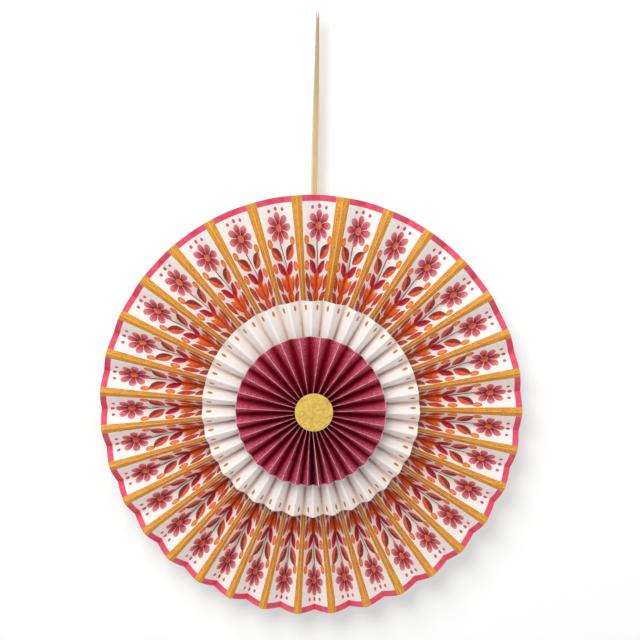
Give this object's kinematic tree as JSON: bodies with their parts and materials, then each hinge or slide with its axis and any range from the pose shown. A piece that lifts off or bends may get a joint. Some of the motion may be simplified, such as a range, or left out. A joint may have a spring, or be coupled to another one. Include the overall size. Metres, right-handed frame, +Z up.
{
  "type": "paper fan rosette",
  "caption": "Round hanging decoration of pleated paper fans glued hub to hub, with a card disc in the middle and a ribbon loop to hang it from.",
  "frame": {"origin": "top of the hanging loop, on its inside, where the nail bears", "axes": "+Z up along the hanging ribbon, -Y out of the printed front, +Y into the wall, +X to the right seen from the front"},
  "size_m": [0.3999, 0.0609, 0.5712],
  "materials": {
    "printed_paper": "matte",
    "white_paper": "matte",
    "burgundy_paper": "matte",
    "gold_card": "satin",
    "white_card": "matte",
    "hot_glue": "satin",
    "satin_ribbon": "satin"
  },
  "bodies": {
    "root": {"outer_fan": "printed_paper", "middle_fan": "white_paper", "inner_fan": "burgundy_paper", "gold_disc": "gold_card", "inner_disc": "white_card", "middle_disc": "white_card", "rear_disc": "white_card", "rear_glue": "hot_glue", "outer_plug": "hot_glue", "middle_plug": "hot_glue", "inner_plug": "hot_glue", "hanging_ribbon": "satin_ribbon"}
  },
  "joints": []
}
